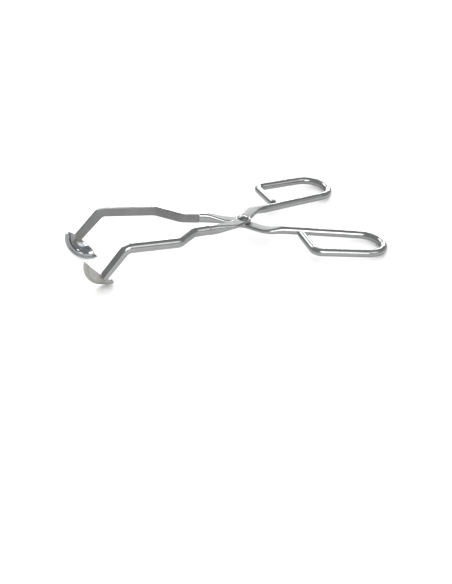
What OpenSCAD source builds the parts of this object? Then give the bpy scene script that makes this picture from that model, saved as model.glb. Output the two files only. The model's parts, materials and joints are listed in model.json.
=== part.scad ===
/* [Bar] */
// Diameter of the round bar that each arm is bent from
bar_d = 5; // [4.5:0.1:6]
// Height of the pressed bar on the jaw side
pressed_h = 6.2; // [5.4:0.1:7]
// Thickness of the pressed bar on the jaw side
pressed_t = 3.9; // [3.4:0.1:4.4]
// Height of the pressed bar at its welded tip
tip_h = 5.5; // [5:0.1:6.4]

/* [Pivot] */
// Thickness of the flat pressed into each bar at the pivot
flat_t = 2.4; // [2:0.1:2.8]
// Width of the flat beside the pivot
flat_w = 8; // [6.4:0.1:9]
// Diameter of the round eye that the rivet passes through
eye_d = 10.4; // [8.6:0.1:12]
// Free gap between the two flats
flat_gap = 0.1; // [0.06:0.02:0.2]
// Diameter of the rivet's shank
shank_d = 4; // [3:0.1:5]
// Radial clearance of the shank in each arm
shank_gap = 0.05; // [0.02:0.01:0.1]
// Diameter of the rivet's heads
head_d = 6.8; // [6:0.1:8]
// Height of the domed upper head
head_h = 1.5; // [1:0.1:2]
// Height of the flatter lower head
foot_h = 1; // [0.6:0.1:1.6]
// Slant of the flats where the arms cross
cross_angle = 37; // [30:1:42]

/* [Handles] */
// Distance of the shaft's line from the middle line, measured at the pivot
shaft_offset = 9.1; // [8:0.1:12]
// Angle by which each shaft spreads from the middle line with the jaws shut
shaft_splay = 6; // [3:0.5:9]
// Distance from the pivot to the start of the loop's end bend
shaft_reach = 72.8; // [62:0.5:90]
// Distance from the pivot to where the bar becomes fully round
round_from = 25; // [23:0.5:28]
// Radius of the loop's end bend, to the middle of the bar
loop_r = 13.2; // [10.5:0.1:16]
// Angle that the loop's end bend turns through
loop_turn = 176; // [170:1:180]
// Length of the loop's straight outer bar
outer_l = 29.6; // [24:0.5:36]
// Radius of the loop's small corner, to the middle of the bar
corner_r = 5; // [4:0.5:7]
// Angle that the small corner turns through
corner_turn = 82; // [78:1:90]
// Gap between the bar's cut end and the shaft
end_gap = 1.2; // [0.8:0.1:3]
// Chamfer on the bar's cut end
end_chamfer = 0.5; // [0.3:0.1:0.8]

/* [Jaw side] */
// Distance of the neck from the middle line with the jaws shut
neck_y = 4.6; // [4.2:0.1:6]
// Distance from the pivot to the neck's outward bend
neck_x = 38.9; // [36:0.5:44]
// Distance from the pivot to the shoulder
shoulder_x = 54.4; // [50:0.5:60]
// Distance of the shoulder from the middle line
shoulder_y = 14.4; // [11:0.1:17]
// Distance from the pivot to the knee, where the arm turns down
knee_x = 89.8; // [74:0.5:104]
// Distance of the knee from the middle line
knee_y = 11.3; // [10:0.1:13]
// Angle of the arm below level, past the knee
slant = 53; // [45:1:60]
// Drop from the knee to the jaw's cut edge
drop = 17.4; // [14:0.1:21]
// Length of arm tip that laps past the jaw's cut edge
lap = 1.4; // [1:0.1:2]
// Distance from the pivot to the step where the pressed inner face starts
step_x = 28; // [26:0.5:32]

/* [Jaws] */
// Outer radius of the jaw's rim
rim_r = 15.2; // [12.6:0.1:17]
// Distance of the cut edge from the bowl's centre
cut_offset = 7.2; // [5:0.1:8]
// Distance of the arm's tip from the middle of the cut edge, towards the jaw's front
jaw_shift = 1.5; // [0:0.1:3]
// Width of the flat gripping lip
lip_w = 1.1; // [0.8:0.1:1.6]
// Depth of the step inside the lip
step_d = 0.8; // [0.5:0.1:1.2]
// Width of the ledge between the step and the bowl
ledge_w = 1.2; // [0.9:0.1:1.8]
// Depth inside the bowl at its centre
bowl_d = 10.2; // [9:0.1:11]
// Squareness of the bowl's inside: 2 is an ellipse
bowl_square = 2.6; // [2:0.1:3.2]
// Thickness of the jaw's sheet
sheet_t = 1; // [0.7:0.1:1.2]
// Gap between the two lips with the jaws shut
lip_gap = 0.3; // [0.2:0.1:0.6]

/* [Pose] */
// Angle between the arms as the tongs lie at rest
opening = 19.4; // [4:0.2:40]

/* [Hidden] */
steel = "#c9cacb";
bright = "#dedfe0";

bar_r = bar_d / 2;
eye_r = eye_d / 2;
edge_r = 0.45 * flat_t;
ring_n = 6;
bury = 2;
proud = 0.7;
tuck = 0.3;
hair = 0.01;
big = 60;
cross_bend = 20;
neck_bend = 7;
knee_bend = 6;

// Corners of an arm's centre line, with the jaws shut: jaw side towards -X and +Y
splay_run = tan(shaft_splay);
cross_run = tan(cross_angle);
handle_corner_x = shaft_offset / (cross_run - splay_run);
handle_corner = [handle_corner_x, -handle_corner_x * cross_run, 0];
jaw_corner = [-neck_y / cross_run, neck_y, 0];
round_start = [round_from, -shaft_offset - round_from * splay_run, 0];
neck = [-neck_x, neck_y, 0];
shoulder = [-shoulder_x, shoulder_y, 0];
knee = [-knee_x, knee_y, 0];
lean = unit(knee - shoulder);
slant_way = [lean[0] * cos(slant), lean[1] * cos(slant), -sin(slant)];
edge_mid = knee + slant_way * drop / sin(slant);
tip = edge_mid + slant_way * lap;

// The jaw's cut edge is square to the slanted arm, which meets it a little off its middle
rim_x = edge_mid[0] + cut_offset * cos(slant) + jaw_shift * sin(slant);
rim_z = edge_mid[2] + cut_offset * sin(slant) - jaw_shift * cos(slant);
bowl_r = rim_r - lip_w - ledge_w - step_d / 2;

// The tongs lie on the rims of both jaws and on the ends of both loops
half_open = opening / 2;
shaft_l = (shaft_reach - round_from) / cos(shaft_splay);
loop_centre = round_start + [shaft_l * cos(shaft_splay) - loop_r * sin(shaft_splay),
    -shaft_l * sin(shaft_splay) - loop_r * cos(shaft_splay), 0];
handle_end = loop_centre[0] * cos(half_open) + loop_centre[1] * sin(half_open) + loop_r;
jaw_end = rim_x * cos(half_open) + lip_gap / 2 * sin(half_open);
lie_run = handle_end - jaw_end;
lie = asin((rim_r - bar_r) / norm([lie_run, rim_z])) + atan2(-rim_z, lie_run);
lift = handle_end * sin(lie) + bar_r;
rim_spread = rim_r * norm([cos(half_open) * cos(lie), sin(lie)]);
left_end = jaw_end * cos(lie) + rim_z * sin(lie) - rim_spread;
right_end = handle_end * cos(lie) + bar_r;
mid_x = (left_end + right_end) / 2;

function unit(v) = v / norm(v);
function mix(a, b, t) = a + (b - a) * t;
function ease(t) = t * t * (3 - 2 * t);

// A rounded corner of the centre line, as [place, direction] pairs
function bend(a, c, b, r, n) =
    let (u = unit(c - a))
    let (v = unit(b - c))
    let (turn = acos(u * v))
    let (side = unit(v - u * (u * v)))
    let (centre = c - u * r * tan(turn / 2) + side * r)
    [for (i = [0:n])
        let (g = turn * i / n)
        [centre + (u * sin(g) - side * cos(g)) * r, u * cos(g) + side * sin(g)]];

// Places between the end of one corner and the start of the next
function run(from, to, n) =
    let (a = from[len(from) - 1])
    let (b = to[0])
    [for (i = [1:n - 1]) [mix(a[0], b[0], i / n), a[1]]];

// Centre line of the forged part of an arm, from the round shaft to the tip
shaft_way = unit(handle_corner - round_start);
start_pair = [[round_start - shaft_way * bury, shaft_way], [round_start - shaft_way * proud, shaft_way]];
handle_arc = bend(round_start, handle_corner, jaw_corner, cross_bend, 7);
jaw_arc = bend(handle_corner, jaw_corner, neck, cross_bend, 7);
neck_arc = bend(jaw_corner, neck, shoulder, neck_bend, 5);
shoulder_arc = bend(neck, shoulder, knee, neck_bend, 5);
knee_arc = bend(shoulder, knee, tip, knee_bend, 7);
tip_pair = [[tip, slant_way]];
step_in = [-step_x + 0.15, neck_y, 0];
step_out = [-step_x - 0.15, neck_y, 0];
neck_way = unit(neck - jaw_corner);
step_pair = [[step_in, neck_way], [step_out, neck_way]];
centre_line = concat(
    start_pair, run(start_pair, handle_arc, 5),
    handle_arc, run(handle_arc, jaw_arc, 16),
    jaw_arc, run(jaw_arc, step_pair, 9),
    step_pair, run(step_pair, neck_arc, 2),
    neck_arc, run(neck_arc, shoulder_arc, 2),
    shoulder_arc, run(shoulder_arc, knee_arc, 3),
    knee_arc, run(knee_arc, tip_pair, 3), tip_pair);

// A section is [outer half, inner half, mid height, half height, outer corner width and
// height, inner corner width and height]
pressed_in = 0.41 * pressed_t;
pressed_out = pressed_t - pressed_in;
function round_section(r) = [r, r, 0, r, r, r, r, r];
function flat_section(up, half_w) =
    [half_w, half_w, up * (flat_gap + flat_t) / 2, flat_t / 2, edge_r, edge_r, edge_r, edge_r];
function swollen_section(up) =
    [0.5 * bar_d, 0.46 * bar_d, 0, 0.48 * pressed_h,
        0.4 * bar_d, 0.4 * pressed_h, 0.3 * bar_d, 0.3 * pressed_h];
function pressed_section(h) =
    [pressed_out, pressed_in, 0, h / 2, pressed_out + 0.5, 0.46 * h, 0.4, 0.5];

// Sections at distances along X, from the handle to the tip
function stations(up) = [
    [round_from + bury, round_section(bar_r * 0.92)],
    [round_from + proud * cos(shaft_splay), round_section(bar_r * 1.014)],
    [round_from, round_section(bar_r * 1.014)],
    [handle_corner_x - 3.5, flat_section(up, flat_w / 2)],
    [-eye_r - 3.5, flat_section(up, flat_w / 2)],
    [-step_x + 4, swollen_section(up)],
    [-step_x + 0.1, swollen_section(up)],
    [-step_x - 0.1, pressed_section(pressed_h)],
    [-knee_x, pressed_section(pressed_h)],
    [tip[0], pressed_section(tip_h)],
    [tip[0] - bury, pressed_section(tip_h)]];

function part_way(x, a, b) = ease(min(1, max(0, (a - x) / (a - b))));
function section_at(x, keys, i = 0) =
    x >= keys[i + 1][0] || i == len(keys) - 2
        ? mix(keys[i][1], keys[i + 1][1], part_way(x, keys[i][0], keys[i + 1][0]))
        : section_at(x, keys, i + 1);

// The eye widens the flat around the rivet
function eye_half(p) = sqrt(max(0, eye_r * eye_r - p * p));
function widened(s, p) =
    let (half = eye_half(norm(p)))
    [max(s[0], half), max(s[1], half), s[2], s[3], s[4], s[5], s[6], s[7]];

function quarter(half_w, half_h, wide, high, sx, sz, flip) =
    [for (k = [0:ring_n - 1])
        let (g = 90 * ((flip ? ring_n - 1 - k : k) + 0.5) / ring_n)
        [sx * (half_w - wide + wide * cos(g)), sz * (half_h - high + high * sin(g))]];
function outline(s) = concat(
    quarter(s[0], s[3], s[4], s[5], -1, 1, false),
    quarter(s[1], s[3], s[6], s[7], 1, 1, true),
    quarter(s[1], s[3], s[6], s[7], 1, -1, false),
    quarter(s[0], s[3], s[4], s[5], -1, -1, true));

function ring(pair, s) =
    let (way = pair[1])
    let (inner = unit(cross([0, 0, 1], way)))
    let (upper = cross(way, inner))
    [for (q = outline(s)) pair[0] + inner * q[0] + upper * (q[1] + s[2])];

// A closed skin over a row of rings with the same number of points
module skin(rings) {
    n = len(rings[0]);
    last = len(rings) - 1;
    sides = [for (i = [0:last - 1], k = [0:n - 1])
        [i * n + k, i * n + (k + 1) % n, (i + 1) * n + (k + 1) % n, (i + 1) * n + k]];
    lid = [[for (k = [n - 1:-1:0]) k], [for (k = [0:n - 1]) last * n + k]];
    polyhedron([for (r = rings, p = r) p], concat(sides, lid));
}

// A straight stretch along X, tucked into the bend at each end and thinner by a hair there
module straight_bar(l) {
    translate([-tuck, 0, 0])
        rotate([0, 90, 0])
            cylinder(h = l + 2 * tuck, d = bar_d - 2 * hair, $fn = 48);
    translate([l, 0, 0]) children();
}

// A bar bent to the right, with what follows it at its end
module bent_bar(r, turn) {
    translate([0, -r, 0]) {
        rotate([0, 0, 90 - turn])
            rotate_extrude(angle = turn, $fn = 96)
                translate([r, 0]) circle(d = bar_d, $fn = 48);
        rotate([0, 0, -turn]) translate([0, r, 0]) children();
    }
}

// Length of the loop's last leg, which stops short of the shaft
leg_turn = loop_turn + corner_turn;
leg_low = loop_r * (cos(loop_turn) - 1) - outer_l * sin(loop_turn)
    + corner_r * (cos(leg_turn) - cos(loop_turn));
leg_high = -(bar_r + end_gap + bar_r * abs(cos(leg_turn)));
leg_l = (leg_high - leg_low) / -sin(leg_turn);

// The last leg, with its chamfered cut end
module cut_end() {
    leg_r = bar_r - hair;
    rotate([0, 90, 0])
        rotate_extrude($fn = 48)
            polygon([[0, -tuck], [leg_r, -tuck], [leg_r, leg_l - end_chamfer],
                [leg_r - end_chamfer, leg_l], [0, leg_l]]);
}

module handle_loop() {
    translate(round_start)
        rotate([0, 0, -shaft_splay])
            straight_bar(shaft_l) bent_bar(loop_r, loop_turn)
                straight_bar(outer_l) bent_bar(corner_r, corner_turn) cut_end();
}

// An arm with the jaws shut; up is 1 when its flat lies on top and -1 when underneath
module arm(up) {
    keys = stations(up);
    difference() {
        skin([for (pair = centre_line)
            let (s = section_at(pair[0][0], keys))
            ring(pair, widened(s, pair[0]))]);
        translate([0, 0, -bar_d]) cylinder(h = 2 * bar_d, r = shank_d / 2 + shank_gap, $fn = 64);
    }
    handle_loop();
}

function bowl_curve(r, d, n) =
    [for (i = [0:n])
        let (g = 90 * (1 - i / n))
        [r * pow(cos(g), 2 / bowl_square), step_d + (d - step_d) * pow(sin(g), 2 / bowl_square)]];

// Half of a stamped bowl: a flat lip, a step, a ledge and the bowl itself
module jaw() {
    inside = concat(
        bowl_curve(bowl_r, bowl_d, 14),
        [[bowl_r + ledge_w, step_d], [rim_r - lip_w, 0]]);
    outside = concat(
        [[rim_r, 0], [rim_r, sheet_t], [rim_r - lip_w, sheet_t]],
        [[bowl_r + ledge_w, step_d + sheet_t]],
        [for (p = [14:-1:0]) bowl_curve(bowl_r + sheet_t * 0.8, bowl_d, 14)[p] + [0, sheet_t]]);
    translate([rim_x, lip_gap / 2, rim_z])
        rotate([-90, 0, 0])
            rotate([0, 0, 90 - slant])
                difference() {
                    rotate_extrude($fn = 128) polygon(concat(inside, outside));
                    translate([-big, cut_offset - 2 * big, -big]) cube(2 * big);
                }
}

// Sets a piece that is drawn with the jaws shut into the open tongs as they lie
module lay(turn) {
    translate([-mid_x, 0, lift])
        rotate([0, lie, 0])
            rotate([0, 0, turn])
                children();
}

module lower_arm() {
    color(steel) lay(-half_open) arm(-1);
}

module upper_arm() {
    color(steel) lay(half_open) mirror([0, 1, 0]) arm(1);
}

module lower_jaw() {
    color(bright) lay(-half_open) jaw();
}

module upper_jaw() {
    color(bright) lay(half_open) mirror([0, 1, 0]) jaw();
}

// A shallow dome that sits on the plane z = 0
module dome(d, h) {
    ball_r = (d * d / 4 + h * h) / (2 * h);
    intersection() {
        translate([0, 0, h - ball_r]) sphere(r = ball_r, $fn = 96);
        cylinder(h = h, d = d, $fn = 64);
    }
}

module pivot_rivet() {
    grip = flat_gap / 2 + flat_t;
    color(bright) lay(0) {
        translate([0, 0, -grip]) cylinder(h = 2 * grip + flat_gap, d = shank_d, $fn = 64);
        translate([0, 0, grip + flat_gap]) dome(head_d, head_h);
        translate([0, 0, -grip]) mirror([0, 0, 1]) dome(head_d, foot_h);
    }
}

lower_arm();
upper_arm();
lower_jaw();
upper_jaw();
pivot_rivet();
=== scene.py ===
import bpy
import bmesh
import json
import math
from mathutils import Matrix, Vector


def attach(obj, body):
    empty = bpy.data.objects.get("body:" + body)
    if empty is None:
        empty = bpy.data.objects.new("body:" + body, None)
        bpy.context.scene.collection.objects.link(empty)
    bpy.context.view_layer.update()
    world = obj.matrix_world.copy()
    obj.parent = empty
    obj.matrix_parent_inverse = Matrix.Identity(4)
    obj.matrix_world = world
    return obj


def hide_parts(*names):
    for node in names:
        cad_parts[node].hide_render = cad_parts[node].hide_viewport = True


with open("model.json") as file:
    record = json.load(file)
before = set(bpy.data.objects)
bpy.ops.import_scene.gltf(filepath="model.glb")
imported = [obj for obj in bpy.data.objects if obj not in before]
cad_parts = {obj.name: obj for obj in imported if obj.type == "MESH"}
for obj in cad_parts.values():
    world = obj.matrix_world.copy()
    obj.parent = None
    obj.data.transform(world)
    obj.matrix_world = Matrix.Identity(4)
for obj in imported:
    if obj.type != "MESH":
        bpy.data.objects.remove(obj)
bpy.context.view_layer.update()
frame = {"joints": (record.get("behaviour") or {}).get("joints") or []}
mm = 0.001
print("frame loaded")

# How the tongs lie: sizes below are in millimetres with the jaws shut, the hinge at the
# origin, its pin along Z and the jaws towards -X
pivotJoint = frame["joints"][0]
pivotPlace = Vector(pivotJoint["pos_m"])
lieAngle = math.atan2(pivotJoint["axis"][0], pivotJoint["axis"][2])
halfOpen = -math.radians(pivotJoint["range_deg"][0]) / 2


def layMatrix(side):
    # side is -1 for the lower arm, 1 for the upper arm and 0 for the rivet
    turned = Matrix.Rotation(halfOpen * side, 4, "Z") @ Matrix.Scale(-1 if side > 0 else 1, 4, (0, 1, 0))
    return Matrix.Translation(pivotPlace) @ Matrix.Rotation(lieAngle, 4, "Y") @ turned @ Matrix.Scale(mm, 4)


def hexToLinear(code):
    parts = [int(code[i:i + 2], 16) / 255 for i in (1, 3, 5)]
    return [c / 12.92 if c <= 0.04045 else ((c + 0.055) / 1.055) ** 2.4 for c in parts] + [1.0]


def addNode(tree, kind, settings=None, links=None):
    # keys of settings and links are socket numbers, socket names or the node's own properties,
    # and "stops" is a ramp's list of (position, colour) pairs in order
    node = tree.nodes.new(kind)
    for key, value in (settings or {}).items():
        if key == "stops":
            marks = node.color_ramp.elements
            while len(marks) < len(value):
                marks.new(0.5)
            for mark, (position, colour) in zip(marks, value):
                mark.position, mark.color = position, colour
        elif isinstance(key, int) or key in node.inputs.keys():
            node.inputs[key].default_value = value
        else:
            setattr(node, key, value)
    for key, source in (links or {}).items():
        tree.links.new(source, node.inputs[key])
    return node


def mix(a, b, t):
    return a + (b - a) * t


def ease(t):
    t = min(1.0, max(0.0, t))
    return t * t * (3 - 2 * t)


def placeObject(name, mesh, materials):
    for material in materials:
        mesh.materials.append(material)
    obj = bpy.data.objects.new(name, mesh)
    bpy.context.scene.collection.objects.link(obj)
    return obj


def finishMesh(bm, name, place, materials, sharp):
    # lays the mesh in the frame, turns its faces outwards and marks its sharp edges
    bmesh.ops.transform(bm, matrix=place, verts=bm.verts)
    bmesh.ops.recalc_face_normals(bm, faces=bm.faces)
    for face in bm.faces:
        face.smooth = True
    for edge in bm.edges:
        edge.smooth = not (len(edge.link_faces) == 2 and edge.calc_face_angle(0) > math.radians(sharp))
    mesh = bpy.data.meshes.new(name)
    bm.to_mesh(mesh)
    bm.free()
    return placeObject(name, mesh, materials)


# One arm: round bar bent into a finger loop, pressed flat at the hinge and oval towards the jaw
bar = {
    "diameter": 5.0,
    "flatThick": 2.4,
    "flatWide": 8.0,
    "flatGap": 0.1,
    "eyeWide": 10.4,
    "pressedHigh": 6.2,
    "pressedThick": 3.9,
    "tipHigh": 5.5,
    "flatPast": 3.5,  # how far the flat goes on past the eye before it starts to swell
    "swollenRun": 4.0,  # length of the swollen part before the pressed face's step
    "flatRound": 0.45,  # edge round of the flat, as a share of its thickness
    "pressedInner": 0.41,  # share of the pressed bar that lies inside the centre line
    "tipRound": 0.35,
    "flatFaces": (24.0, -22.0),  # where the dull faces of the flat begin and end
    "ringSpacing": 0.6,
    "ringPoints": 48,
}
handle = {
    "offset": 9.1,
    "splay": 6.0,
    "reach": 72.8,
    "roundFrom": 25.0,
    "loopRadius": 13.2,
    "loopTurn": 176.0,
    "outerLength": 29.6,
    "cornerRadius": 5.0,
    "cornerTurn": 82.0,
    "endGap": 1.2,
    "endChamfer": 0.5,
}
jawSide = {
    "crossAngle": 37.0,
    "neck": (-38.9, 4.6),
    "shoulder": (-54.4, 14.4),
    "knee": (-89.8, 11.3),
    "slant": 53.0,
    "drop": 17.4,
    "lap": 1.4,
    "stepX": -28.0,
    "crossBend": 20.0,
    "neckBend": 7.0,
    "kneeBend": 6.0,
}


def bendPoints(a, corner, b, radius):
    u, v = (corner - a).normalized(), (b - corner).normalized()
    turn = u.angle(v)
    side = (v - u * u.dot(v)).normalized()
    centre = corner - u * radius * math.tan(turn / 2) + side * radius
    n = max(6, round(radius * turn / bar["ringSpacing"]))
    angles = [turn * i / n for i in range(n + 1)]
    return [(centre + (u * math.sin(g) - side * math.cos(g)) * radius, u * math.cos(g) + side * math.sin(g))
            for g in angles]


def straightPoints(a, b, way):
    n = max(1, round((b - a).length / bar["ringSpacing"]))
    return [(a.lerp(b, i / n), way.copy()) for i in range(1, n)]


def walkHandle(start):
    # from the shaft round the finger loop to the cut end, turning right all the way
    radius, corner, r = handle["loopRadius"], handle["cornerRadius"], bar["diameter"] / 2
    loopTurn = math.radians(handle["loopTurn"])
    legTurn = math.radians(handle["loopTurn"] + handle["cornerTurn"])
    shaft = (handle["reach"] - handle["roundFrom"]) / math.cos(math.radians(handle["splay"]))
    low = (radius * (math.cos(loopTurn) - 1) - handle["outerLength"] * math.sin(loopTurn)
           + corner * (math.cos(legTurn) - math.cos(loopTurn)))
    high = -(r + handle["endGap"] + r * abs(math.cos(legTurn)))
    leg = (high - low) / -math.sin(legTurn)
    cornerTurn = legTurn - loopTurn
    place, heading, out = start.copy(), -math.radians(handle["splay"]), []
    runs = [(shaft, 0), (radius * loopTurn, loopTurn), (handle["outerLength"], 0),
            (corner * cornerTurn, cornerTurn), (leg, 0)]
    for length, turn in runs:
        n = max(2, round(length / bar["ringSpacing"]))
        for i in range(n):
            out.append((place.copy(), Vector((math.cos(heading), math.sin(heading), 0))))
            half = turn / n / 2
            chord = length / n * (math.sin(half) / half if half else 1)
            place += Vector((math.cos(heading - half), math.sin(heading - half), 0)) * chord
            heading -= turn / n
    out.append((place.copy(), Vector((math.cos(heading), math.sin(heading), 0))))
    return out


def armLine():
    # the whole centre line, from the loop's cut end to the tip in the jaw
    splayRun, crossRun = math.tan(math.radians(handle["splay"])), math.tan(math.radians(jawSide["crossAngle"]))
    cornerX = handle["offset"] / (crossRun - splayRun)
    neckY = jawSide["neck"][1]
    corners = [Vector((handle["roundFrom"], -handle["offset"] - handle["roundFrom"] * splayRun, 0)),
               Vector((cornerX, -cornerX * crossRun, 0)), Vector((-neckY / crossRun, neckY, 0))]
    corners += [Vector((*jawSide[name], 0)) for name in ("neck", "shoulder", "knee")]
    lean, slant = (corners[5] - corners[4]).normalized(), math.radians(jawSide["slant"])
    slantWay = Vector((lean.x * math.cos(slant), lean.y * math.cos(slant), -math.sin(slant)))
    edgeMiddle = corners[5] + slantWay * jawSide["drop"] / math.sin(slant)
    corners.append(edgeMiddle + slantWay * jawSide["lap"])
    radii = [0] + [jawSide[name] for name in ("crossBend", "crossBend", "neckBend", "neckBend", "kneeBend")]
    line = [(p, -way) for p, way in reversed(walkHandle(corners[0]))]
    for i in range(1, 6):
        arc = bendPoints(corners[i - 1], corners[i], corners[i + 1], radii[i])
        line += straightPoints(line[-1][0], arc[0][0], arc[0][1])
        if i == 3:  # the pressed face starts at a crisp step, so two rings stand close together there
            line = [pair for pair in line if abs(pair[0].x - jawSide["stepX"]) > 0.35]
            step = [(Vector((jawSide["stepX"] + d, neckY, 0)), Vector((-1, 0, 0))) for d in (0.12, -0.12)]
            behind = [pair for pair in line if pair[0].x < jawSide["stepX"] and pair[0].y > 0]
            line = line[:len(line) - len(behind)] + step + behind
        line += arc
    line += straightPoints(line[-1][0], corners[6], slantWay) + [(corners[6], slantWay)]
    return line, edgeMiddle, cornerX


def sectionKeys(up, cornerX, tipX):
    # [outer half, inner half, middle's height, half height, outer corner wide, high, inner corner wide, high]
    r, edge = bar["diameter"] / 2, bar["flatRound"] * bar["flatThick"]
    inner = bar["pressedInner"] * bar["pressedThick"]
    outer, high = bar["pressedThick"] - inner, bar["pressedHigh"]
    middle = up * (bar["flatGap"] + bar["flatThick"]) / 2
    flat = [bar["flatWide"] / 2] * 2 + [middle, bar["flatThick"] / 2] + [edge] * 4
    swollen = [r, 0.92 * r, 0, 0.48 * high, 0.8 * r, 0.4 * high, 0.6 * r, 0.3 * high]
    pressed, tip = ([outer, inner, 0, h / 2, outer + 0.5, 0.46 * h, 0.4, 0.5] for h in (high, bar["tipHigh"]))
    past, step = bar["flatPast"], jawSide["stepX"]
    return [(handle["roundFrom"], [r, r, 0] + [r] * 5), (cornerX - past, flat),
            (-bar["eyeWide"] / 2 - past, flat), (step + bar["swollenRun"], swollen),
            (step + 0.1, swollen), (step - 0.1, pressed),
            (jawSide["knee"][0], pressed), (tipX, tip)]


def sectionAt(x, keys):
    if x >= keys[0][0]:
        return list(keys[0][1])
    for (xa, sa), (xb, sb) in zip(keys, keys[1:]):
        if x >= xb:
            return [mix(a, b, ease((xa - x) / (xa - xb))) for a, b in zip(sa, sb)]
    return list(keys[-1][1])


def outlinePoints(s):
    quarter, points = bar["ringPoints"] // 4, []
    outer, inner = (s[0], s[4], s[5]), (s[1], s[6], s[7])
    for (half, wide, high), sx, sz, flip in ((outer, -1, 1, False), (inner, 1, 1, True), (inner, 1, -1, False),
                                             (outer, -1, -1, True)):
        for k in range(quarter):
            g = math.pi / 2 * ((quarter - 1 - k if flip else k) + 0.5) / quarter
            points.append((sx * (half - wide + wide * math.cos(g)),
                           sz * (s[3] - high + high * math.sin(g)) + s[2]))
    return points


def makeArm(name, side, materials):
    line, _, cornerX = armLine()
    keys = sectionKeys(side, cornerX, line[-1][0].x)
    r, eye, n = bar["diameter"] / 2, bar["eyeWide"] / 2, bar["ringPoints"]
    loopCount = len(walkHandle(Vector((0, 0, 0))))
    pressedFrom, pressedTo = bar["flatFaces"]
    bm = bmesh.new()
    along = bm.loops.layers.uv.new("alongBar")
    rings, run, last = [], 0.0, line[0][0]
    for i, (p, way) in enumerate(line):
        s = sectionAt(p.x, keys) if i >= loopCount else [r, r, 0] + [r] * 5
        widened = math.sqrt(max(0, eye * eye - p.length_squared))
        s[0], s[1] = max(s[0], widened), max(s[1], widened)
        run, last = run + (p - last).length, p
        rings.append((p, way, s, run))
    chamfer = handle["endChamfer"]
    cut = [(rings[0][0], rings[0][1], [r - chamfer] * 2 + [0] + [r - chamfer] * 5, 0.0),
           (rings[0][0] + rings[0][1] * chamfer, rings[0][1], rings[0][2], chamfer)]
    rings = cut + rings[2:]
    tipPlace, tipWay, tipSection, tipRun = rings[-1]
    soft = bar["tipRound"]  # the tip's end is dressed with a small round before welding
    shrunk = [v - soft if j in (0, 1, 3) else v for j, v in enumerate(tipSection)]
    rings[-1] = (tipPlace - tipWay * soft, tipWay, tipSection, tipRun - soft)
    rings.append((tipPlace, tipWay, shrunk, tipRun))
    rows = []
    for p, way, s, run in rings:
        inner = Vector((0, 0, 1)).cross(way).normalized()
        upper = way.cross(inner)
        rows.append([bm.verts.new(p + inner * a + upper * b) for a, b in outlinePoints(s)])
    for i in range(len(rows) - 1):
        for k in range(n):
            face = bm.faces.new((rows[i][k], rows[i][(k + 1) % n], rows[i + 1][(k + 1) % n], rows[i + 1][k]))
            x = rings[i][0].x
            onFlat = i >= loopCount and pressedTo < x < pressedFrom and k in (n // 4 - 1, n * 3 // 4 - 1)
            onFace = i >= loopCount and x < jawSide["stepX"] and k == n // 2 - 1
            face.material_index = 1 if onFlat or onFace else 0
            for loop, (ring, point) in zip(face.loops, ((i, k), (i, k + 1), (i + 1, k + 1), (i + 1, k))):
                loop[along].uv = (rings[ring][3] * mm, point / n * math.pi * bar["diameter"] * mm)
    bm.faces.new(list(reversed(rows[0])))
    bm.faces.new(rows[-1]).material_index = 1
    return finishMesh(bm, name, layMatrix(side), materials, 32)


# One jaw: a little less than half of a bowl pressed from sheet, with a stepped rim
jaw = {
    "rimRadius": 15.2,
    "cutOffset": 7.2,
    "shift": 1.5,
    "lipWide": 1.1,
    "stepDeep": 0.8,
    "ledgeWide": 1.2,
    "bowlDeep": 10.2,
    "squareness": 2.6,
    "sheet": 1.0,
    "lipGap": 0.3,
    "pressRound": 0.35,
    "turns": 192,
}


def bowlPoints(radius, lower):
    # from the bowl's bottom up to its ledge
    power, n = 2 / jaw["squareness"], 32
    points = [(radius * max(0, math.cos(g)) ** power, lower + jaw["stepDeep"]
               + (jaw["bowlDeep"] - jaw["stepDeep"]) * max(0, math.sin(g)) ** power)
              for g in (math.pi / 2 * (1 - i / n) for i in range(n + 1))]
    return [(0, jaw["bowlDeep"] + lower)] + points[1:]


def roundCorners(points, radius):
    # rounds each inner corner of an open row of points that bends by more than a few degrees
    out = [points[0]]
    for before, here, after in zip(points, points[1:], points[2:]):
        a, p, b = Vector(before), Vector(here), Vector(after)
        u, v = (p - a).normalized(), (b - p).normalized()
        turn = u.angle(v)
        if turn < math.radians(15):
            out.append(here)
            continue
        reach = min(radius * math.tan(turn / 2), (p - a).length * 0.45, (b - p).length * 0.45)
        out += [tuple((p - u * reach).lerp(p, t).lerp(p.lerp(p + v * reach, t), t))
                for t in (0, 0.25, 0.5, 0.75, 1)]
    return out + [points[-1]]


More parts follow.
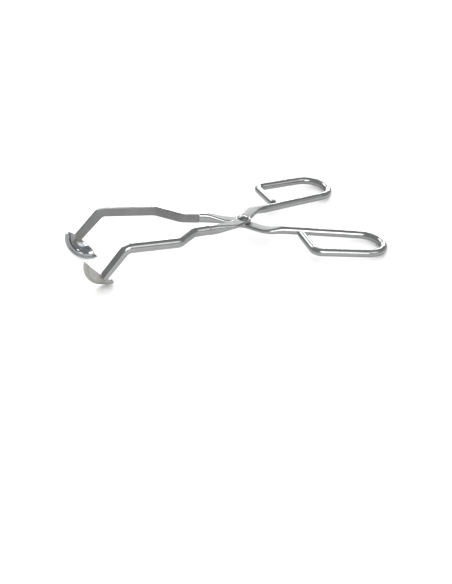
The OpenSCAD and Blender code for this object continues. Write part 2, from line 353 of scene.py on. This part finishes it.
def makeJaw(name, side, materials):
    slant, cut, turns = math.radians(jawSide["slant"]), jaw["cutOffset"], jaw["turns"]
    rim, step, sheet = jaw["rimRadius"], jaw["stepDeep"], jaw["sheet"]
    lip = rim - jaw["lipWide"]
    bowl = lip - jaw["ledgeWide"] - step / 2
    ledge = bowl + jaw["ledgeWide"]
    profile = bowlPoints(bowl, 0) + [(ledge, step), (lip, 0), (rim, 0), (rim, sheet), (lip, sheet),
                                     (ledge, step + sheet)]
    profile += reversed(bowlPoints(bowl + 0.8 * sheet, sheet))
    profile = [p for p in roundCorners(profile, jaw["pressRound"]) if p[0] > cut * 0.85]
    outermost = max(range(len(profile)), key=lambda i: profile[i][0])
    bm = bmesh.new()
    rows = [[bm.verts.new((r * math.cos(math.tau * k / turns), r * math.sin(math.tau * k / turns), d))
             for k in range(turns // 2 + 1)] for r, d in profile]
    for i in range(len(rows) - 1):
        for k in range(turns // 2):
            face = bm.faces.new((rows[i][k], rows[i][k + 1], rows[i + 1][k + 1], rows[i + 1][k]))
            face.material_index = 0 if i < outermost else 1
    bmesh.ops.bisect_plane(bm, geom=bm.verts[:] + bm.edges[:] + bm.faces[:], plane_co=(0, cut, 0),
                           plane_no=(0, 1, 0), clear_inner=True)
    openEdges = [e for e in bm.edges if e.is_boundary]
    filled = bmesh.ops.triangle_fill(bm, edges=openEdges, use_beauty=True)
    for face in filled["geom"]:
        if isinstance(face, bmesh.types.BMFace):
            face.material_index = 2
    centre = armLine()[1]
    centre += Vector((cut * math.cos(slant) + jaw["shift"] * math.sin(slant), 0,
                      cut * math.sin(slant) - jaw["shift"] * math.cos(slant)))
    centre.y = jaw["lipGap"] / 2
    stand = Matrix.Rotation(math.radians(-90), 4, "X") @ Matrix.Rotation(math.pi / 2 - slant, 4, "Z")
    return finishMesh(bm, name, layMatrix(side) @ Matrix.Translation(centre) @ stand, materials, 40)


# The weld that holds an arm's tip in its jaw, run round the tip on both faces of the sheet
weld = {
    "beadRadius": 0.42,
    "ripple": 0.08,
    "rippleTurn": 1.9,
    "above": 0.2,
    "past": 0.15,
    "cornerCut": 0.8,
    "spacing": 0.25,
    "sides": 12,
}


def makeWeld(name, side, materials):
    tip, tipWay = armLine()[0][-1]
    across = Vector((0, 1, 0)).cross(tipWay).normalized()
    bowl = jaw["rimRadius"] - jaw["lipWide"] - jaw["ledgeWide"] - jaw["stepDeep"] / 2
    power = jaw["squareness"]
    reach = (1 - (jaw["cutOffset"] / bowl) ** power) ** (1 / power)
    depth = jaw["lipGap"] / 2 + jaw["stepDeep"] + (jaw["bowlDeep"] - jaw["stepDeep"]) * reach
    bm = bmesh.new()
    tipHalf = bar["tipHigh"] / 2
    for level, half in ((depth + 0.05, tipHalf - 0.1), (depth + jaw["sheet"], tipHalf - 0.45)):
        top, low, cut = -(jawSide["lap"] + weld["above"]), weld["past"], weld["cornerCut"]
        corners = [(half, top), (half, low - cut), (half - cut, low), (cut - half, low), (-half, low - cut),
                   (-half, top)]
        path = []
        for a, b in zip(corners, corners[1:]):
            n = max(2, round(math.dist(a, b) / weld["spacing"]))
            path += [(mix(a[0], b[0], i / n), mix(a[1], b[1], i / n)) for i in range(n)]
        path.append(corners[-1])
        places = [Vector((tip.x, level, tip.z)) + across * a + Vector((tipWay.x, 0, tipWay.z)).normalized() * b
                  for a, b in path]
        rows = []
        for i, p in enumerate(places):
            way = (places[min(i + 1, len(places) - 1)] - places[max(i - 1, 0)]).normalized()
            out = Vector((0, 1, 0))
            beside = way.cross(out).normalized()
            end = min(1, 0.35 + 0.3 * min(i, len(places) - 1 - i))
            r = (weld["beadRadius"] + weld["ripple"] * math.sin(i * weld["rippleTurn"])) * end
            rows.append([bm.verts.new(p + (out * math.sin(g) + beside * math.cos(g)) * r)
                         for g in (math.tau * k / weld["sides"] for k in range(weld["sides"]))])
        for a, b in zip(rows, rows[1:]):
            for k in range(weld["sides"]):
                bm.faces.new((a[k], a[(k + 1) % weld["sides"]], b[(k + 1) % weld["sides"]], b[k]))
        bm.faces.new(list(reversed(rows[0])))
        bm.faces.new(rows[-1])
    return finishMesh(bm, name, layMatrix(side), materials, 60)


# The rivet: a plain shank with a domed head on top and a lower one underneath
rivet = {"shank": 4.0, "head": 6.8, "headHigh": 1.5, "footHigh": 1.0, "headEdge": 0.25, "turns": 96}


def domePoints(high, n):
    # from the dome's edge to its top, with a small upright edge
    half, edge = rivet["head"] / 2, rivet["headEdge"]
    ball = (half * half + (high - edge) ** 2) / (2 * (high - edge))
    full = math.asin(half / ball)
    dome = [(ball * math.sin(full * (1 - i / n)) * (1 if i else 0.985),
             ball * math.cos(full * (1 - i / n)) - ball + high) for i in range(n + 1)]
    return [(half, 0), (half, edge * 0.6)] + dome


def makeRivet(name, materials):
    top = bar["flatGap"] * 1.5 + bar["flatThick"]
    low = -bar["flatGap"] / 2 - bar["flatThick"]
    profile = [(r, low - z) for r, z in reversed(domePoints(rivet["footHigh"], 16))]
    profile += [(rivet["shank"] / 2, low), (rivet["shank"] / 2, top)]
    profile += [(r, top + z) for r, z in domePoints(rivet["headHigh"], 20)]
    bm, turns = bmesh.new(), rivet["turns"]
    rows = []
    for r, z in profile:
        steps = range(turns) if r > 1e-6 else [0]
        angles = [math.tau * k / turns for k in steps]
        rows.append([bm.verts.new((r * math.cos(g), r * math.sin(g), z)) for g in angles])
    for a, b in zip(rows, rows[1:]):
        for k in range(turns):
            ring = [a[k % len(a)], a[(k + 1) % len(a)], b[(k + 1) % len(b)], b[k % len(b)]]
            bm.faces.new([v for i, v in enumerate(ring) if v not in ring[:i]])
    return finishMesh(bm, name, layMatrix(0), materials, 30)


# Finishes. Each is one real steel and one way of working it
heatTint = {"colour": "#b5a38b", "reach": 5.2}


def weldPoint():
    tip, tipWay = armLine()[0][-1]
    return layMatrix(-1) @ (tip - tipWay * jawSide["lap"])


def makeSteel(name, look):
    # cloud is the size in mm of faint patches, grain that of the surface's own texture
    material = bpy.data.materials.new(name)
    material.use_nodes = True
    tree = material.node_tree
    steel = tree.nodes["Principled BSDF"]
    steel.inputs["Metallic"].default_value = 1.0
    place = addNode(tree, "ShaderNodeTexCoord")
    patches = addNode(tree, "ShaderNodeTexNoise",
                      {"Scale": 1 / (look["cloud"] * mm), "Detail": 3.0, "Roughness": 0.55},
                      {"Vector": place.outputs["Object"]})
    light = hexToLinear(look["colour"])
    dark = [c * look["cloudDark"] for c in light[:3]] + [1]
    tone = addNode(tree, "ShaderNodeValToRGB", {"stops": [(0.3, dark), (0.7, light)]},
                   {"Fac": patches.outputs["Fac"]})
    shade = tone.outputs["Color"]
    if look.get("heat"):
        # heat from the weld leaves a faint straw tint that fades within a few millimetres
        parts = addNode(tree, "ShaderNodeSeparateXYZ", {}, {"Vector": place.outputs["Object"]})
        folded = addNode(tree, "ShaderNodeMath", {"operation": "ABSOLUTE"}, {0: parts.outputs["Y"]})
        point = addNode(tree, "ShaderNodeCombineXYZ", {}, {"X": parts.outputs["X"], "Y": folded.outputs[0],
                                                           "Z": parts.outputs["Z"]})
        away = addNode(tree, "ShaderNodeVectorMath", {"operation": "DISTANCE", 1: weldPoint()},
                       {0: point.outputs[0]})
        near = addNode(tree, "ShaderNodeMapRange", {"From Min": 0.0, "From Max": heatTint["reach"] * mm,
                                                    "To Min": look["heat"], "To Max": 0.0},
                       {"Value": away.outputs["Value"]})
        tinted = addNode(tree, "ShaderNodeMix", {"data_type": "RGBA", "blend_type": "MIX"})
        colourIn = [socket for socket in tinted.inputs if socket.type == "RGBA"]
        colourIn[1].default_value = hexToLinear(heatTint["colour"])
        tree.links.new(near.outputs["Result"], tinted.inputs[0])
        tree.links.new(shade, colourIn[0])
        shade = [socket for socket in tinted.outputs if socket.type == "RGBA"][0]
    tree.links.new(shade, steel.inputs["Base Color"])
    sheen = addNode(tree, "ShaderNodeMapRange", {"To Min": look["rough"] * 0.8, "To Max": look["rough"] * 1.2},
                    {"Value": patches.outputs["Fac"]})
    tree.links.new(sheen.outputs["Result"], steel.inputs["Roughness"])
    where = place.outputs["Object"]
    if "stretch" in look:
        lined = addNode(tree, "ShaderNodeUVMap", {"uv_map": "alongBar"})
        squeezed = addNode(tree, "ShaderNodeMapping", {"Scale": (1 / look["stretch"], 1, 1)},
                           {"Vector": lined.outputs["UV"]})
        where = squeezed.outputs["Vector"]
    texture = addNode(tree, "ShaderNodeTexNoise", {"Scale": 1 / (look["grain"] * mm), "Detail": 2.0},
                      {"Vector": where})
    bump = addNode(tree, "ShaderNodeBump", {"Strength": 1.0, "Distance": look["grainDeep"] * mm},
                   {"Height": texture.outputs["Fac"]})
    tree.links.new(bump.outputs["Normal"], steel.inputs["Normal"])
    return material


# 304 bar, cold bent and electropolished: clear, slightly wavy reflections with faint lines along the
# bar left by drawing. The real lines are about 0.05 mm apart and are drawn 0.5 mm apart, to show
drawnBar = makeSteel("electropolishedDrawnBar", {
    "colour": "#cbcccc", "rough": 0.16, "cloud": 9, "cloudDark": 0.9, "grain": 0.5, "grainDeep": 0.012,
    "stretch": 24, "heat": 0.25})
# 304 bar pressed between dies: a dull even grey, finely pitted by the die's grit of about 0.4 mm
pressedFace = makeSteel("diePressedFace", {
    "colour": "#aaabaa", "rough": 0.47, "cloud": 5, "cloudDark": 0.86, "grain": 0.45, "grainDeep": 0.03,
    "heat": 0.25})
# 304 sheet, deep drawn and mirror buffed on the inside: sharp reflections, bent a little by the buffing
buffedSheet = makeSteel("mirrorBuffedSheet", {
    "colour": "#c5c8ca", "rough": 0.07, "cloud": 7, "cloudDark": 0.93, "grain": 2.5, "grainDeep": 0.02,
    "heat": 0.5})
# the same sheet's outside, left as drawn and brushed over by hand: soft grey with broad highlights
brushedSheet = makeSteel("brushedDrawnSheet", {
    "colour": "#e2e2dd", "rough": 0.36, "cloud": 4, "cloudDark": 0.78, "grain": 0.6, "grainDeep": 0.02,
    "heat": 0.3})
# sheared and deburred edge of the sheet: duller than its faces, with short soft highlights
shearedEdge = makeSteel("shearedSheetEdge", {
    "colour": "#949594", "rough": 0.25, "cloud": 3, "cloudDark": 0.9, "grain": 0.5, "grainDeep": 0.02,
    "heat": 0.4})
# 304 rivet, cold headed: a little darker than the bar, with shallow marks of about 1.5 mm from the tool
headedRivet = makeSteel("coldHeadedRivet", {
    "colour": "#b4b5b6", "rough": 0.16, "cloud": 2, "cloudDark": 0.8, "grain": 1.5, "grainDeep": 0.09})
# stainless filler, laid by hand and wire brushed: rippled and faintly straw coloured
weldBead = makeSteel("brushedWeldBead", {
    "colour": "#b6aa98", "rough": 0.3, "cloud": 1.5, "cloudDark": 0.75, "grain": 0.4, "grainDeep": 0.03,
    "heat": 0.35})
print("materials made")

for side, word in ((-1, "lower"), (1, "upper")):
    arm = makeArm(word + "ArmBar", side, [drawnBar, pressedFace])
    bowl = makeJaw(word + "JawBowl", side, [buffedSheet, brushedSheet, shearedEdge])
    for piece, node, slot in ((arm, "_arm", "polished_bar"), (bowl, "_jaw", "polished_sheet")):
        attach(piece, word)
        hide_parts(word + node)
    seam = makeWeld(word + "WeldSeam", side, [weldBead])
    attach(seam, word)
    print(word, "arm, jaw and weld made")
headed = makeRivet("domedRivet", [headedRivet])
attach(headed, "lower")
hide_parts("pivot_rivet")
print("rivet made")

# Floor, lights and camera. Directions are degrees round from the front towards the right, and degrees
# above the table; each lamp is its direction, distance in metres, width and height, and power in watts
stage = {
    "floorHalf": 3.0,
    "floorDrop": 0.0004,
    "floorColour": "#f6f6f6",
    "floorMirrored": "#b2b2b2",
    "floorRough": 0.5,
    "ambient": 1.32,
    "skyLow": "#9c9c9c",
    "skyHigh": "#8a8b8c",
    "skyTurnsAt": 0.35,
    "sheetWay": (44, 34),
    "sheetFade": ((0.9, "#000000"), (0.974, "#a8a8a8"), (0.995, "#dcdcdc")),
    "sheetPower": 1.6,
    "lamps": {
        "frontSoftbox": ((3, 34), 1.3, (0.6, 0.88), 4.0),
        "backSoftbox": ((184, 37), 1.1, (0.6, 0.46), 1.6),
        "backStrip": ((151, 17), 1.2, (0.9, 0.12), 3.4),
    },
}


def makeFloor():
    half, low = stage["floorHalf"], -stage["floorDrop"]
    mesh = bpy.data.meshes.new("paleTable")
    mesh.from_pydata([(-half, -half, low), (half, -half, low), (half, half, low), (-half, half, low)], [],
                     [(0, 1, 2, 3)])
    material = bpy.data.materials.new("mattWhiteTableTop")
    material.use_nodes = True
    tree = material.node_tree
    top = tree.nodes["Principled BSDF"]
    # the table is white to look at, and the grey of a shaded room where the steel mirrors it
    ray = addNode(tree, "ShaderNodeLightPath")
    seen = addNode(tree, "ShaderNodeValToRGB", {"stops": [(0.0, hexToLinear(stage["floorColour"])),
                                                          (1.0, hexToLinear(stage["floorMirrored"]))]},
                   {"Fac": ray.outputs["Is Glossy Ray"]})
    tree.links.new(seen.outputs["Color"], top.inputs["Base Color"])
    top.inputs["Roughness"].default_value = stage["floorRough"]
    placeObject("paleTable", mesh, [material])


def makeLight(name, place, size, power):
    lamp = bpy.data.lights.new(name, "AREA")
    lamp.shape = "RECTANGLE"
    lamp.size, lamp.size_y = size
    lamp.energy = power
    obj = bpy.data.objects.new(name, lamp)
    obj.location = place
    obj.rotation_euler = (-Vector(place)).to_track_quat("-Z", "Y").to_euler()
    bpy.context.scene.collection.objects.link(obj)


def skyWay(side, high):
    side, high = math.radians(side), math.radians(high)
    return Vector((math.sin(side) * math.cos(high), -math.cos(side) * math.cos(high), math.sin(high)))


def makeWorld():
    # mirror-like steel sees a grey room; everything else is lit evenly from all round
    world = bpy.data.worlds.new("lightTent")
    bpy.context.scene.world = world
    world.use_nodes = True
    tree = world.node_tree
    room = tree.nodes["Background"]
    way = addNode(tree, "ShaderNodeTexCoord")
    parts = addNode(tree, "ShaderNodeSeparateXYZ", {}, {"Vector": way.outputs["Generated"]})
    sky = addNode(tree, "ShaderNodeValToRGB", {"stops": [(0.0, hexToLinear(stage["skyLow"])),
                                                         (stage["skyTurnsAt"], hexToLinear(stage["skyHigh"])),
                                                         (1.0, hexToLinear(stage["skyHigh"]))]},
                  {"Fac": parts.outputs["Z"]})
    # a white sheet hung to the right of the table, brightest in its middle
    toward = addNode(tree, "ShaderNodeVectorMath", {"operation": "DOT_PRODUCT", 1: skyWay(*stage["sheetWay"])},
                     {0: way.outputs["Generated"]})
    fade = [(position, hexToLinear(code)) for position, code in stage["sheetFade"]]
    sheet = addNode(tree, "ShaderNodeValToRGB", {"stops": fade}, {"Fac": toward.outputs["Value"]})
    shining = addNode(tree, "ShaderNodeVectorMath", {"operation": "SCALE", "Scale": stage["sheetPower"]},
                      {0: sheet.outputs["Color"]})
    both = addNode(tree, "ShaderNodeVectorMath", {"operation": "ADD"},
                   {0: sky.outputs["Color"], 1: shining.outputs["Vector"]})
    tree.links.new(both.outputs["Vector"], room.inputs["Color"])
    even = addNode(tree, "ShaderNodeBackground", {"Strength": stage["ambient"]})
    even.inputs["Color"].default_value = hexToLinear("#ffffff")
    ray = addNode(tree, "ShaderNodeLightPath")
    blend = addNode(tree, "ShaderNodeMixShader", {}, {0: ray.outputs["Is Glossy Ray"], 1: even.outputs[0],
                                                      2: room.outputs[0]})
    tree.links.new(blend.outputs[0], tree.nodes["World Output"].inputs["Surface"])


# where the camera stands, in degrees and metres; the rivet lies this far aside of and above its middle
cameraSetup = {"azimuth": 21.1, "elevation": 30.95, "roll": -1.1, "distance": 0.985, "lens": 95.5,
               "aside": 0.0106, "below": 0.0449, "sensor": 36.0, "nearest": 0.01, "farthest": 20}


def makeCamera():
    turn, tilt = math.radians(cameraSetup["azimuth"]), math.radians(cameraSetup["elevation"])
    forward = Vector((math.sin(turn) * math.cos(tilt), math.cos(turn) * math.cos(tilt), -math.sin(tilt)))
    level = Vector((math.cos(turn), -math.sin(turn), 0))
    right = Matrix.Rotation(math.radians(-cameraSetup["roll"]), 3, forward) @ level
    upward = right.cross(forward)
    place = (pivotPlace - forward * cameraSetup["distance"] - right * cameraSetup["aside"]
             - upward * cameraSetup["below"])
    camera = bpy.data.cameras.new("camera")
    camera.lens, camera.sensor_width = cameraSetup["lens"], cameraSetup["sensor"]
    camera.clip_start, camera.clip_end = cameraSetup["nearest"], cameraSetup["farthest"]
    obj = bpy.data.objects.new("camera", camera)
    obj.matrix_world = Matrix.Translation(place) @ Matrix((right, upward, -forward)).transposed().to_4x4()
    bpy.context.scene.collection.objects.link(obj)
    bpy.context.scene.camera = obj


makeCamera()
makeFloor()
makeWorld()
for lampName, (lampWay, lampAway, lampSize, lampPower) in stage["lamps"].items():
    makeLight(lampName, skyWay(*lampWay) * lampAway, lampSize, lampPower)
bpy.context.scene.view_settings.view_transform = "Standard"
print("stage made")
